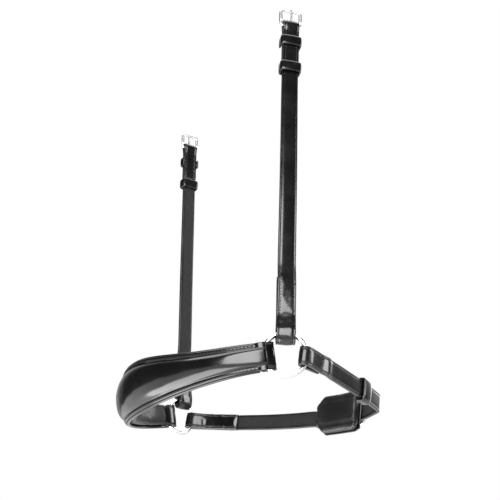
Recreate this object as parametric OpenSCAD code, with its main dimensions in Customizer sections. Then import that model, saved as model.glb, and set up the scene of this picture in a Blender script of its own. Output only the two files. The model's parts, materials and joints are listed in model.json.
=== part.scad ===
/* [Rings] */
// Distance between the centres of the two side rings
ring_gap = 212; // [190:1:230]
// Mean radius of each ring
ring_r = 14.5; // [14:0.5:16]
// Radius of the ring wire
wire_r = 1.5; // [1.3:0.1:1.6]
// How far each ring's front edge turns in towards the nose, in degrees
ring_toe = 20; // [14:1:22]

/* [Nosepiece] */
// Depth of the nose band in front of the rings
nose_b = 72.5; // [65:0.5:80]
// Slope of the nose band down towards its front, in degrees
nose_tilt = 9.5; // [5:0.5:12]
// Width of the folded leather at each ring
nose_fold_w = 18.5; // [16:0.5:19]
// Width of the load strap inside the nosepiece
nose_core_w = 15; // [13:0.5:16]
// Half height of the raised cover at its ends
cover_end = 8.7; // [8.5:0.1:10]
// Height of the cover above the load strap, at the front
cover_up = 21; // [18:0.5:24]
// Height of the cover below the load strap, at the front
cover_down = 15.4; // [14:0.2:20]
// How far the raised front stands out from the load strap
cover_crown = 7; // [5:0.5:9]
// Thickness of the soft padding at the front
pad_depth = 6; // [4:0.5:8]

/* [Straps] */
// Width of the cheek and chin straps
strap_w = 13; // [12:0.5:14]
// Thickness of one layer of strap leather
leather = 2.8; // [2.4:0.1:3]

/* [Cheek straps] */
// Height of the buckle's heel bar above the ring's centre
cheek_top = 271; // [240:1:300]
// Toe-in of the cheek straps, in degrees
cheek_toe = 10; // [5:1:15]
// Forward lean of the far cheek strap, in degrees
far_lean = 2.2; // [0:0.2:3]
// Backward lean of the near cheek strap, in degrees
near_lean = 0.5; // [0:0.1:1]
// How far the far cheek strap sits behind the top of its ring
far_back = 2.5; // [0:0.5:3]
// Height where the folded and stitched lower end stops
fold_top = 55; // [45:1:70]
// Height of the lower end of the upper fold
upper_fold = 234; // [215:1:238]
// Height of a keeper, along the strap
keeper_h = 8; // [6:0.5:10]

/* [Chin strap] */
// Slope of the chin strap down towards the back, in degrees
chin_tilt = 7; // [4:0.5:9]
// Height of the chin pad
chin_pad_h = 32; // [28:1:34]
// Thickness of the chin pad's filling
chin_pad_t = 5; // [4:0.5:7]

/* [Buckles] */
// Radius of the buckle frame's wire
frame_r = 1.1; // [0.9:0.1:1.2]
// Distance from the heel bar to the far bar, centre to centre
frame_l = 14.5; // [13:0.5:16]
// Radius of the tongue
tongue_r = 0.9; // [0.7:0.1:1]

/* [Hidden] */
$fn = 48;

leather_black = [0.06, 0.06, 0.065];
strap_black = [0.10, 0.10, 0.105];
pad_black = [0.14, 0.14, 0.15];
chrome_grey = [0.75, 0.76, 0.78];

gap = 0.15;
wall = 1.8;
ring_x = ring_gap / 2;
frame_in = strap_w + 0.8;
frame_half = frame_in / 2 + frame_r;
bore_r = frame_r + 0.1;
fold_r = bore_r + 1.8;
double_t = 2 * leather;

// ---------- curves in plan ----------

function unit(a) = [cos(a), sin(a)];
function arc(c, r, a0, a1, n) = [for (i = [0:n]) c + r * unit(a0 + (a1 - a0) * i / n)];
function reversed(p) = [for (i = [len(p) - 1:-1:0]) p[i]];
function heading(p, i) = p[min(i + 1, len(p) - 1)] - p[max(i - 1, 0)];
function side(p, i) = let (d = heading(p, i)) [d.y, -d.x] / norm(d);
function shifted(p, d) = [for (i = [0:len(p) - 1]) p[i] + d * side(p, i)];
function outline(p, d0, d1) = concat(shifted(p, d0), reversed(shifted(p, d1)));

// A strap that follows a path in plan, between two distances from the path
module strip(path, d0, d1, w) {
  linear_extrude(w, center = true) polygon(outline(path, d0, d1));
}

// ---------- nosepiece: an ellipse in plan, met by the wire of both rings ----------

wire_x = ring_x - ring_r * sin(ring_toe);
wire_y = ring_r * cos(ring_toe);
nose_a = wire_x / sqrt(1 - pow(wire_y / nose_b, 2));
wire_phi = asin(wire_y / nose_b);
cover_phi = wire_phi + 5;
face_u = leather / 2 + 0.15;
skin = 1.8;
piping_r = 1.1;
fold_wall = 1.6;
nose_bore = wire_r + 0.6;
nose_reach = 4;

function nose_c(p) = [nose_a * cos(p), -nose_b * sin(p)];
function nose_n(p) = let (v = [cos(p) / nose_a, -sin(p) / nose_b]) v / norm(v);
function nose_path(p0, n) = [for (i = [0:n]) nose_c(p0 + (180 - 2 * p0) * i / n)];
function up(p) = cover_end + (cover_up - cover_end) * pow(sin(p), 5);
function down(p) = cover_end + (cover_down - cover_end) * pow(sin(p), 1.9);
function half(p, a) = a > 0 ? up(p) : down(p);
function crown(p) = 3.4 + (cover_crown - 3.4) * sin(p);
function depth(p) = 2.5 + (pad_depth - 2.5) * sin(p);

// A half-round bulge on one side of the load strap, s = 1 outside and -1 inside
function bulge(p, s, u, d, trim) =
  [for (a = [-90:15:90]) [s * (u + d * cos(a)), sin(a) * (half(p, a) - trim)]];
function shell(p, s, u, d, trim, t) =
  concat(bulge(p, s, u, d, trim), reversed(bulge(p, s, u, d - t, trim + t)));

function station(p, prof) = let (c = nose_c(p), n = nose_n(p))
  [for (q = prof) [c.x + n.x * q.x, c.y + n.y * q.x, q.y]];

// Joins a row of closed sections into one solid; a hollow section has a curve out and one back
module swept(rows, hollow = false) {
  n = len(rows[0]);
  m = len(rows);
  last = (m - 1) * n;
  ends = hollow ? [for (i = [0:n / 2 - 2]) [i, i + 1, n - 2 - i, n - 1 - i]] : [[for (i = [0:n - 1]) i]];
  polyhedron(
    points = [for (r = rows) each r],
    faces = concat(
      ends,
      [for (j = [0:m - 2], i = [0:n - 1])
        [j * n + i, (j + 1) * n + i, (j + 1) * n + (i + 1) % n, j * n + (i + 1) % n]],
      [for (f = ends) [for (v = reversed(f)) last + v]]),
    convexity = 8);
}

nose_steps = 36;
function nose_phi(i, p0) = p0 + (180 - 2 * p0) * i / nose_steps;

module nose_frame() {
  rotate([nose_tilt, 0, 0]) children();
}

// Leather folded round a ring's wire, strap towards +Y: the bore has flat sides and room for
// the wire's curve, reach is how far it runs back towards the ring's centre
module fold_loop(w, gap_half, reach, tail) {
  outer = gap_half + fold_wall;
  linear_extrude(w, center = true) difference() {
    union() {
      translate([0, -reach]) circle(outer);
      circle(outer);
      translate([-outer, -reach]) square([2 * outer, reach]);
      translate([-leather, 0]) square([double_t, tail]);
    }
    translate([0, -reach]) circle(gap_half);
    circle(gap_half);
    translate([-gap_half, -reach]) square([2 * gap_half, reach]);
  }
}

module nosepiece_cover() {
  color(leather_black) nose_frame() swept([for (i = [0:nose_steps])
    let (p = nose_phi(i, cover_phi)) station(p, shell(p, 1, face_u, crown(p), 0, skin))], true);
}

module nosepiece_filler() {
  color(pad_black) nose_frame() swept([for (i = [0:nose_steps])
    let (p = nose_phi(i, cover_phi + 1))
    station(p, bulge(p, 1, face_u + gap, crown(p) - skin - 0.5, skin + gap))]);
}

module nosepiece_padding() {
  color(pad_black) nose_frame() swept([for (i = [0:nose_steps])
    let (p = nose_phi(i, cover_phi + 1))
    station(p, reversed(bulge(p, -1, face_u, depth(p), skin)))]);
}

module nosepiece_lining() {
  color(pad_black) nose_frame() swept([for (i = [0:nose_steps])
    let (p = nose_phi(i, cover_phi))
    station(p, reversed(shell(p, -1, face_u, depth(p) + 1.4, 0.4, 1.2)))], true);
}

// A cord along the cover's edge, s = 1 on top and -1 below
module piping(s) {
  color(leather_black) nose_frame() swept([for (i = [0:nose_steps])
    let (p = nose_phi(i, cover_phi))
    station(p, [for (a = [0:36:324]) [piping_r * cos(a), s * half(p, s) + piping_r * sin(a)]])]);
}

module nosepiece_top_piping() {
  piping(1);
}

module nosepiece_bottom_piping() {
  piping(-1);
}

module nosepiece_load_strap() {
  start = wire_phi + 2.6;
  color(strap_black) nose_frame() {
    strip(nose_path(start, 48), -leather / 2, leather / 2, nose_core_w);
    for (s = [0, 1]) mirror([s, 0, 0]) translate([wire_x, -wire_y, 0])
      rotate(180 - ring_toe) fold_loop(nose_fold_w, nose_bore, nose_reach, 5.4);
  }
}

// ---------- rings ----------

module ring(s) {
  color(chrome_grey) translate([s * ring_x, 0, 0]) rotate([0, 90, -s * ring_toe])
    rotate_extrude($fn = 96) translate([ring_r, 0]) circle(wire_r, $fn = 24);
}

module near_ring() {
  ring(1);
}

module far_ring() {
  ring(-1);
}

// ---------- buckles: heel bar along X at the origin, frame towards +Z, outer side +Y ----------

heel_corner = 1.3;
far_corner = 3;

module frame_corner(x, z, a, r) {
  translate([x, 0, z]) rotate([90, 0, 0]) rotate(a)
    rotate_extrude(angle = 90) translate([r, 0]) circle(frame_r, $fn = 24);
}

module bar(p, turn, l) {
  translate(p) rotate(turn) cylinder(h = l, r = frame_r, center = true, $fn = 24);
}

module buckle_frame() {
  heel_x = frame_half - heel_corner;
  far_x = frame_half - far_corner;
  high = frame_l - far_corner;
  for (s = [-1, 1])
    bar([s * frame_half, 0, (high + heel_corner) / 2], [0, 0, 0], high - heel_corner + 0.02);
  bar([0, 0, 0], [0, 90, 0], 2 * heel_x + 0.02);
  bar([0, 0, frame_l], [0, 90, 0], 2 * far_x + 0.02);
  frame_corner(far_x, high, 0, far_corner);
  frame_corner(-far_x, high, 90, far_corner);
  frame_corner(-heel_x, heel_corner, 180, heel_corner);
  frame_corner(heel_x, heel_corner, 270, heel_corner);
}

eye_r = frame_r + 0.06 + 1;
eye_w = 2.4;
tongue_tilt = asin((frame_r + tongue_r + gap) / frame_l);

module buckle_tongue() {
  difference() {
    union() {
      rotate([0, 90, 0]) cylinder(h = eye_w, r = eye_r, center = true, $fn = 24);
      rotate([-tongue_tilt, 0, 0]) {
        cylinder(h = frame_l + 0.6, r = tongue_r, $fn = 20);
        translate([0, 0, frame_l + 0.6]) sphere(tongue_r, $fn = 20);
      }
    }
    rotate([0, 90, 0]) cylinder(h = eye_w + 1, r = frame_r + 0.06, center = true, $fn = 24);
  }
}

// Leather folded round the heel bar, open in the middle for the tongue, strap towards -Z
module buckle_fold(tail) {
  difference() {
    union() {
      rotate([0, 90, 0]) cylinder(h = strap_w, r = fold_r, center = true);
      translate([-strap_w / 2, -leather, -tail]) cube([strap_w, double_t, tail]);
    }
    rotate([0, 90, 0]) cylinder(h = strap_w + 1, r = bore_r, center = true);
    translate([-eye_w / 2 - 0.3, -fold_r - 1, -eye_r - 0.4])
      cube([eye_w + 0.6, 2 * fold_r + 2, eye_r + fold_r + 2]);
  }
}

// Three-sided leather band over a strap, its legs sewn against the strap's edges
module fixed_keeper(front, back, h) {
  w = strap_w / 2 + gap;
  difference() {
    translate([-w - wall, -back, -h / 2]) cube([2 * (w + wall), back + front + wall, h]);
    translate([-w, -back - 1, -h / 2 - 1]) cube([2 * w, back + front + 1, h + 2]);
  }
}

// Closed leather band that slides along a strap
module runner(front, back, h) {
  w = strap_w / 2 + 0.35;
  difference() {
    translate([-w - wall, -back - wall, -h / 2]) cube([2 * (w + wall), back + front + 2 * wall, h]);
    translate([-w, -back, -h / 2 - 1]) cube([2 * w, back + front, h + 2]);
  }
}

// ---------- cheek straps: local X across the strap, local Y outwards ----------

cheek_runner_z = upper_fold - gap - keeper_h / 2 - 0.3;
cheek_keeper_z = cheek_top - fold_r - 10 - keeper_h / 2;
cheek_bore = wire_r + 1;
near_reach = 2.6;

function strap_back(s) = s > 0 ? 0 : far_back;
function cheek_reach(s) = near_reach + strap_back(s) / 2;

// Places a piece on a cheek strap: local X forwards, local Y outwards, local Z up the strap
module cheek_frame(s, z) {
  translate([s * ring_x, 0, 0]) rotate(-s * (90 + cheek_toe)) mirror([s > 0 ? 0 : 1, 0, 0])
    translate([-strap_back(s), 0, 0]) rotate([0, s > 0 ? -near_lean : far_lean, 0])
    translate([0, 0, z]) children();
}

module cheek_strap(s) {
  color(strap_black) {
    cheek_frame(s, cheek_top) buckle_fold(cheek_top - upper_fold);
    cheek_frame(s, 0) translate([-strap_w / 2, -leather / 2, fold_top - 1])
      cube([strap_w, leather, upper_fold - fold_top + 2]);
    cheek_frame(s, 0) translate([-strap_w / 2, -leather, ring_r + 7])
      cube([strap_w, double_t, fold_top - ring_r - 7]);
    translate([s * ring_x, 0, ring_r]) rotate([90, 0, -s * ring_toe])
      translate([0, 0, -strap_back(s)]) fold_loop(strap_w, cheek_bore, cheek_reach(s), 8);
    translate([s * ring_x, 0, 0]) rotate(-s * (90 + (ring_toe + cheek_toe) / 2))
      translate([-strap_w / 2 - s * strap_back(s), -leather, ring_r + 4.5])
      cube([strap_w, double_t, 5]);
  }
}

module near_cheek_strap() {
  cheek_strap(1);
}

module far_cheek_strap() {
  cheek_strap(-1);
}

module near_cheek_buckle() {
  color(chrome_grey) cheek_frame(1, cheek_top) buckle_frame();
}

module far_cheek_buckle() {
  color(chrome_grey) cheek_frame(-1, cheek_top) buckle_frame();
}

module near_cheek_tongue() {
  color(chrome_grey) cheek_frame(1, cheek_top) buckle_tongue();
}

module far_cheek_tongue() {
  color(chrome_grey) cheek_frame(-1, cheek_top) buckle_tongue();
}

module cheek_keeper(s) {
  color(leather_black) cheek_frame(s, cheek_keeper_z) fixed_keeper(leather + 3, leather, keeper_h);
}

module near_cheek_keeper() {
  cheek_keeper(1);
}

module far_cheek_keeper() {
  cheek_keeper(-1);
}

module cheek_runner(s) {
  color(leather_black) cheek_frame(s, cheek_runner_z) runner(leather + 0.4, leather + 0.4, keeper_h);
}

module near_cheek_runner() {
  cheek_runner(1);
}

module far_cheek_runner() {
  cheek_runner(-1);
}

// ---------- chin strap: two arcs in plan that meet at a tight turn behind the jaw ----------

back_x = ring_x + ring_r * sin(ring_toe);
back_y = ring_r * cos(ring_toe);
near_r = 371;
near_a0 = 22;
near_a1 = 36.7;
near_c = [back_x, back_y] - near_r * unit(near_a0);
turn_r = 7.5;
turn_end = 84;
turn_c = near_c + (near_r - turn_r) * unit(near_a1);
far_r = 265;
far_a0 = 103;
far_a1 = 140;
far_c = [-back_x, back_y] - far_r * unit(far_a1);
deg_per_mm = 180 / (PI * far_r);

// Angle on the far arc at a distance from its start, measured towards the far ring
function far_a(s) = far_a0 + s * deg_per_mm;
// A point at distance s along the far strap and d outwards from its middle
function far_p(s, d) = far_c + (far_r + d) * unit(far_a(s));

chin_bore = wire_r + 1.2;
chin_reach = 2.6;
heel_s = 14;
bar_lift = 2.6;
bar_s = heel_s - sqrt(pow(frame_l, 2) - pow(bar_lift, 2));
over = fold_r + leather / 2 + gap;
billet_end = heel_s + 40;
slot_s = heel_s - 7.5;
frame_lean = asin(bar_lift / frame_l);

module chin_frame() {
  rotate([-chin_tilt, 0, 0]) children();
}

// Places a piece on the far strap: local X up, local Y outwards, local Z towards the turn
module on_far(s) {
  chin_frame() translate([far_p(s, 0).x, far_p(s, 0).y, 0]) rotate(far_a(s) - 90)
    rotate([0, 90, 0]) children();
}

// The fold at the back of a ring: the strap leaves at an angle to the ring, so the bore sits
// off the strap's middle by half of the wire's curve
module chin_fold(s, a, aside) {
  translate([s * back_x, back_y, 0]) rotate(a) translate([aside, -0.5])
    fold_loop(strap_w, chin_bore, chin_reach, 7);
}

// The billet: round the turn, under the far bar, up over the heel bar, then along the far strap
billet_path = concat(
  arc(near_c, near_r, near_a0 + 0.75, near_a1 - 0.2, 30),
  arc(turn_c, turn_r, near_a1, turn_end, 10),
  [far_p(bar_s - 1, bar_lift - frame_r - leather / 2 - gap)],
  [far_p(bar_s + 2, bar_lift - frame_r - leather / 2 - gap)],
  [far_p(heel_s - 3, over)],
  [for (s = [heel_s - 1:3:billet_end]) far_p(s, over)]);

module near_chin_strap() {
  color(strap_black) chin_frame() {
    difference() {
      strip(billet_path, -leather / 2, leather / 2, strap_w);
      translate([far_p(slot_s, 0).x, far_p(slot_s, 0).y, 0]) rotate(far_a(slot_s))
        cube([20, 11, 2 * tongue_r + 1.4], center = true);
      for (s = [10, 22, 34]) translate([far_p(heel_s + s, 0).x, far_p(heel_s + s, 0).y, 0])
        rotate([0, 90, far_a(heel_s + s)]) cylinder(h = 20, r = 1.6, center = true, $fn = 24);
    }
    chin_fold(1, near_a0, -0.5);
  }
}

module far_chin_strap() {
  color(strap_black) {
    chin_frame() {
      strip(arc(far_c, far_r, far_a(heel_s + 32), far_a1 - 1, 40), -leather / 2, leather / 2, strap_w);
      strip(arc(far_c, far_r, far_a(heel_s + 4), far_a(heel_s + 33), 12), -leather, leather, strap_w);
      strip(arc(far_c, far_r, far_a1 - 9.5, far_a1 - 1, 10), -leather, leather, strap_w);
      chin_fold(-1, far_a1 - 180, 0.6);
    }
    on_far(heel_s) buckle_fold(4.5);
  }
}

module chin_buckle() {
  color(chrome_grey) on_far(heel_s) rotate([-frame_lean, 0, 0]) buckle_frame();
}

module chin_tongue() {
  color(chrome_grey) on_far(heel_s) rotate([-frame_lean, 0, 0]) buckle_tongue();
}

keeper_s = heel_s + 16;

module chin_keeper() {
  color(leather_black) on_far(keeper_s) fixed_keeper(over + leather / 2 + 0.4, leather, keeper_h);
}

runner_a = near_a1 - 3.9;

module chin_runner() {
  color(leather_black) chin_frame() translate([near_c.x, near_c.y, 0]) rotate(runner_a)
    translate([near_r, 0, 0]) rotate([90, 0, 90]) rotate([0, 90, 0]) rotate([0, 0, 90])
    runner(leather / 2 + 0.4, leather / 2 + 0.4, 10);
}

// ---------- chin pad, on the inner side of the far strap ----------

pad_s0 = -4;
pad_s1 = 42;
pad_face = -fold_r - gap;

// Side view of the pad, tapered to the strap's width at its far end
module pad_shape(d0, d1, trim) {
  h = chin_pad_h / 2 - trim;
  tip = strap_w / 2 + 2 - trim;
  mid_s = (pad_s0 + pad_s1) / 2;
  half_l = (pad_s1 - pad_s0) / 2 - trim;
  intersection() {
    chin_frame() strip(arc(far_c, far_r, far_a(pad_s0 + trim), far_a(pad_s1 - trim), 20), d1, d0, 2 * h);
    on_far(mid_s) rotate([90, 0, 0]) linear_extrude(60, center = true)
      polygon([[-h + 3, half_l + 2], [-h, half_l - 8], [-h, -half_l + 12], [-tip, -half_l - 2],
        [tip, -half_l - 2], [h, -half_l + 12], [h, half_l - 8], [h - 3, half_l + 2]]);
  }
}

module chin_pad_backing() {
  color(leather_black) pad_shape(pad_face - 1.4, pad_face, 0);
}

module chin_pad_filling() {
  color(pad_black) pad_shape(pad_face - 1.55 - chin_pad_t, pad_face - 1.55, 1.2);
}

module chin_pad_lining() {
  color(pad_black) pad_shape(pad_face - 2.9 - chin_pad_t, pad_face - 1.7 - chin_pad_t, 0.3);
}

nosepiece_cover();
nosepiece_filler();
nosepiece_load_strap();
nosepiece_padding();
nosepiece_lining();
nosepiece_top_piping();
nosepiece_bottom_piping();
near_ring();
far_ring();
near_cheek_strap();
far_cheek_strap();
near_cheek_buckle();
far_cheek_buckle();
near_cheek_tongue();
far_cheek_tongue();
near_cheek_keeper();
far_cheek_keeper();
near_cheek_runner();
far_cheek_runner();
near_chin_strap();
far_chin_strap();
chin_buckle();
chin_tongue();
chin_keeper();
chin_runner();
chin_pad_backing();
chin_pad_filling();
chin_pad_lining();
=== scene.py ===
import json
from math import asin, ceil, cos, pi, radians, sin, sqrt

import bmesh
import bpy
import numpy as np
from mathutils import Matrix, Vector, noise


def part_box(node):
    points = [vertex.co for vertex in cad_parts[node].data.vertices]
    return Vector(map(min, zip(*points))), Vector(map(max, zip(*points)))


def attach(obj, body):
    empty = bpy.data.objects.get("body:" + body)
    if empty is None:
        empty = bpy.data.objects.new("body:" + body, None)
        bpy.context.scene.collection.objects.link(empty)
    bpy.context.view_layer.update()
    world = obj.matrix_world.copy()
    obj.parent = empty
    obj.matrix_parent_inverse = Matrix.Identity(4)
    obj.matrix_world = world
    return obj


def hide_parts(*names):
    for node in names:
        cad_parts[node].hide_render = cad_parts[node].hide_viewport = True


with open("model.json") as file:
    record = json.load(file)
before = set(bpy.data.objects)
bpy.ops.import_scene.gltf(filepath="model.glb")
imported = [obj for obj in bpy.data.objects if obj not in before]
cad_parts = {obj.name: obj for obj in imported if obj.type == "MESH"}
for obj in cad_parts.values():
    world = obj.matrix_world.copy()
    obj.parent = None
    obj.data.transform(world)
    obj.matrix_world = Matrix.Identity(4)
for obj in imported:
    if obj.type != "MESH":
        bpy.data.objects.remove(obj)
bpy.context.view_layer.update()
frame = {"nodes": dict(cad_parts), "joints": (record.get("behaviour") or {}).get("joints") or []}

MM = 0.001
JOINT = {j["name"]: j for j in frame["joints"]}

# ---------- places taken from the frame ----------


def joint_pos(name):
    return np.array(JOINT[name]["pos_m"]) / MM


def joint_axis(name):
    return np.array(JOINT[name]["axis"], float)


def unit(v):
    v = np.asarray(v, float)
    return v / np.linalg.norm(v)


def side_name(s):
    return "near" if s > 0 else "far"


RING_X = joint_pos("near_ring_swing")[0]
RING_R = joint_pos("near_cheek_lean")[2]
RING_TOE = asin(-joint_axis("near_ring_swing")[1])
HEEL_Z = joint_pos("near_buckle_tilt")[2] / joint_axis("near_runner_slide")[2]
CHEEK_TOE = asin(joint_axis("near_buckle_tilt")[0])
CHIN_UP = joint_axis("chin_runner_slide")

# sizes in mm: a buckle frame's wire radius, length and half width, a strap's width and thickness,
# how far each layer of a doubled strap is from its middle, a seam's distance from the edge, and
# the spacing of the points along a strap
FRAME_R = 1.1
FRAME_L = 14.5
FRAME_HALF = 8.0
STRAP_W = 13.0
LEATHER = 2.7
LAYER = LEATHER / 2 + 0.05
SEAM_INSET = 2.2
STEP = 0.9

# ---------- small mesh tools ----------


def new_object(name, verts, faces, mats, ids=None):
    """A smooth mesh object from points in mm; ids gives each face its material."""
    mesh = bpy.data.meshes.new(name)
    mesh.from_pydata([tuple(v) for v in np.asarray(verts) * MM], [], faces)
    mesh.validate()
    for m in mats:
        mesh.materials.append(m)
    if ids is not None:
        mesh.polygons.foreach_set("material_index", ids)
    mesh.polygons.foreach_set("use_smooth", [True] * len(mesh.polygons))
    mesh.update()
    obj = bpy.data.objects.new(name, mesh)
    bpy.context.scene.collection.objects.link(obj)
    fix_normals(obj)
    return obj


def fix_normals(obj):
    bm = bmesh.new()
    bm.from_mesh(obj.data)
    bmesh.ops.recalc_face_normals(bm, faces=bm.faces)
    bm.to_mesh(obj.data)
    bm.free()


def skin(rows, cols, closed=False):
    """Quads between rows of points round a form, and a cap at each end unless it is closed."""
    faces = []
    for i in range(rows if closed else rows - 1):
        k = (i + 1) % rows
        for j in range(cols):
            q = (j + 1) % cols
            faces.append((i * cols + j, i * cols + q, k * cols + q, k * cols + j))
    if not closed:
        faces.append(tuple(reversed(range(cols))))
        faces.append(tuple((rows - 1) * cols + j for j in range(cols)))
    return faces


def apply_modifiers(obj):
    bpy.context.view_layer.update()
    graph = bpy.context.evaluated_depsgraph_get()
    mesh = bpy.data.meshes.new_from_object(obj.evaluated_get(graph))
    old = obj.data
    obj.modifiers.clear()
    obj.data = mesh
    bpy.data.meshes.remove(old)


def spline(points, step):
    """A centripetal curve through the points, with its own points a step apart."""
    p = np.asarray(points, float)
    p = np.vstack([2 * p[0] - p[1], p, 2 * p[-1] - p[-2]])
    fine = []
    for i in range(1, len(p) - 2):
        a, b, c, d = p[i - 1], p[i], p[i + 1], p[i + 2]
        gap = [max(np.linalg.norm(v), 1e-6) ** 0.5 for v in (b - a, c - b, d - c)]
        t0, t1 = 0.0, gap[0]
        t2 = t1 + gap[1]
        t3 = t2 + gap[2]
        count = max(int(np.linalg.norm(c - b) / step * 6), 4)
        for t in np.linspace(t1, t2, count, endpoint=False):
            a1 = (t1 - t) / (t1 - t0) * a + (t - t0) / (t1 - t0) * b
            a2 = (t2 - t) / (t2 - t1) * b + (t - t1) / (t2 - t1) * c
            a3 = (t3 - t) / (t3 - t2) * c + (t - t2) / (t3 - t2) * d
            b1 = (t2 - t) / (t2 - t0) * a1 + (t - t0) / (t2 - t0) * a2
            b2 = (t3 - t) / (t3 - t1) * a2 + (t - t1) / (t3 - t1) * a3
            fine.append((t2 - t) / (t2 - t1) * b1 + (t - t1) / (t2 - t1) * b2)
    fine.append(p[-2])
    return resample(np.array(fine), step)


def lengths(p):
    """Distance along a line of points, at each of them."""
    return np.r_[0, np.cumsum(np.linalg.norm(np.diff(p, axis=0), axis=1))]


def resample(p, step):
    d = lengths(p)
    n = max(int(ceil(d[-1] / step)), 2)
    s = np.linspace(0, d[-1], n + 1)
    return np.stack([np.interp(s, d, p[:, k]) for k in range(p.shape[1])], 1)


def tangents(p):
    t = np.gradient(p, axis=0)
    return t / np.linalg.norm(t, axis=1)[:, None]


def smoothstep(x):
    x = np.clip(x, 0, 1)
    return x * x * (3 - 2 * x)


def round_power(x, power):
    return np.sign(x) * abs(x) ** power


def wobble(p, scale, seed):
    """Soft noise from -1 to 1 at a point in mm."""
    return noise.noise(Vector((p[0] / scale + seed, p[1] / scale, p[2] / scale)))


# ---------- leather straps ----------

OUTER, EDGE, INNER = 0, 1, 2
CREASE = [(2.0, 0.0), (1.72, 0.14), (1.5, 0.26), (1.3, 0.14), (1.0, 0.0)]


def strap_section(width, thick):
    """A strap's cross-section as (across, out, face): a slightly crowned outer face with a
    crease along each edge, rounded edges and a flat back."""
    r = min(0.75, thick * 0.36)
    w, t = width / 2, thick / 2
    corner = [(w - r + r * cos(radians(a)), t - r + r * sin(radians(a)), EDGE if a < 50 else OUTER)
              for a in np.linspace(90, 0, 5)]
    line = [(w - d, t - g, OUTER) for d, g in CREASE]
    middle = [(x * w, t + 0.14 * (1 - x * x), OUTER) for x in (-0.55, -0.3, 0, 0.3, 0.55)]
    half = line + corner
    upper = [(-x, y, f) for x, y, f in reversed(half)] + middle + half
    below = [(x, -y, EDGE) for x, y, f in reversed(corner)][1:]
    back = [(x, -t, INNER) for x in np.linspace(w - r, -w + r, 9)[1:-1]]
    return upper + below + back + [(-x, y, f) for x, y, f in reversed(below)][:-1]


def ribbon(name, centre, across, mats, width=STRAP_W, thick=LEATHER,
           skive=(0, 0), tip=(0, 0), widen=None, wrinkle=None):
    """A strap along a centre line. across is the direction of its width at each point; its
    outer face is on the side of across x forward. skive and tip are the lengths in mm over
    which its start and end are thinned and rounded off. widen scales the width, and wrinkle
    is the depth in mm of the small waves of its outer face, both with a value for each point."""
    p = np.asarray(centre, float)
    n = len(p)
    t = tangents(p)
    w = np.asarray(across, float)
    if w.ndim == 1:
        w = np.repeat(w[None], n, 0)
    w = w - (w * t).sum(1)[:, None] * t
    w /= np.linalg.norm(w, axis=1)[:, None]
    out = np.cross(w, t)
    d = lengths(p)
    rest = d[-1] - d
    section = strap_section(width, thick)
    m = len(section)
    verts = np.zeros((n, m, 3))
    for i in range(n):
        ts = ws = 1.0
        for gap, sk, tp in ((d[i], skive[0], tip[0]), (rest[i], skive[1], tip[1])):
            if sk and gap < sk:
                ts *= 0.35 + 0.65 * smoothstep(gap / sk)
            if tp and gap < tp:
                ws *= 0.25 + 0.75 * sqrt(max(1 - (1 - gap / tp) ** 2, 0))
            if gap < 0.5:
                ts *= 0.7 + 0.3 * gap / 0.5
        if widen is not None:
            ws *= widen[i]
        for j, (x, y, _) in enumerate(section):
            verts[i, j] = p[i] + w[i] * x * ws + out[i] * y * ts
            if wrinkle is not None and y > 0:
                wave = wobble(verts[i, j], 4.0, 11) + 0.7 * wobble(verts[i, j], 2.0, 5)
                verts[i, j] += out[i] * wrinkle[i] * wave
    kinds = [f for _, _, f in section]
    around = [EDGE if EDGE in (a, b) else a for a, b in zip(kinds, kinds[1:] + kinds[:1])]
    ids = around * (n - 1) + [EDGE, EDGE]
    return new_object(name, verts.reshape(-1, 3), skin(n, m), mats, ids)


THREAD_R = 0.3
SLANT = 0.12


def stitches(name, points, out, mat, pitch=2.3, length=1.7):
    """One row of thread on a seam: short stitches that sink into the leather at both ends."""
    p = resample(np.asarray(points, float), pitch)
    src = lengths(np.asarray(points, float))
    at = lengths(p)
    o = np.stack([np.interp(at / at[-1] * src[-1], src, np.asarray(out)[:, k]) for k in range(3)], 1)
    t = tangents(p)
    verts, faces = [], []
    rows, cols = 5, 6
    for q, nrm, fwd in zip(p, o, t):
        nrm = unit(nrm - np.dot(nrm, fwd) * fwd)
        aside = np.cross(nrm, fwd)
        fwd = unit(fwd + SLANT * aside)
        aside = np.cross(nrm, fwd)
        base = len(verts)
        for i in range(rows):
            x = -1 + 2 * i / (rows - 1)
            h = sqrt(max(1 - (0.94 * x) ** 2, 0.02))
            for j in range(cols):
                a = 2 * pi * j / cols
                verts.append(q + nrm * (THREAD_R * (0.75 * h - 0.55) + THREAD_R * h * 0.8 * sin(a))
                             + fwd * x * length / 2 + aside * THREAD_R * h * cos(a))
        faces += [tuple(base + i for i in face) for face in skin(rows, cols)]
    return new_object(name, verts, faces, [mat])


def tube(name, path, radius, mat, sides=14, closed=False, flat=1.0, up=None):
    """A round or slightly flat bar along a path; radius may be a list, one for each point.
    up is the direction in which it is flattened."""
    p = np.asarray(path, float)
    n = len(p)
    if closed:
        t = np.roll(p, -1, 0) - np.roll(p, 1, 0)
        t /= np.linalg.norm(t, axis=1)[:, None]
    else:
        t = tangents(p)
    rad = np.full(n, radius, float) if np.isscalar(radius) else np.asarray(radius, float)
    verts = np.zeros((n, sides, 3))
    ref = np.array(up if up is not None else (0, 0, 1.0), float)
    for i in range(n):
        a = unit(ref - np.dot(ref, t[i]) * t[i])
        if up is None:
            ref = a
        b = np.cross(t[i], a)
        for j in range(sides):
            g = 2 * pi * j / sides
            verts[i, j] = p[i] + rad[i] * (flat * cos(g) * a + sin(g) * b)
    return new_object(name, verts.reshape(-1, 3), skin(n, sides, closed), [mat])


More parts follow.
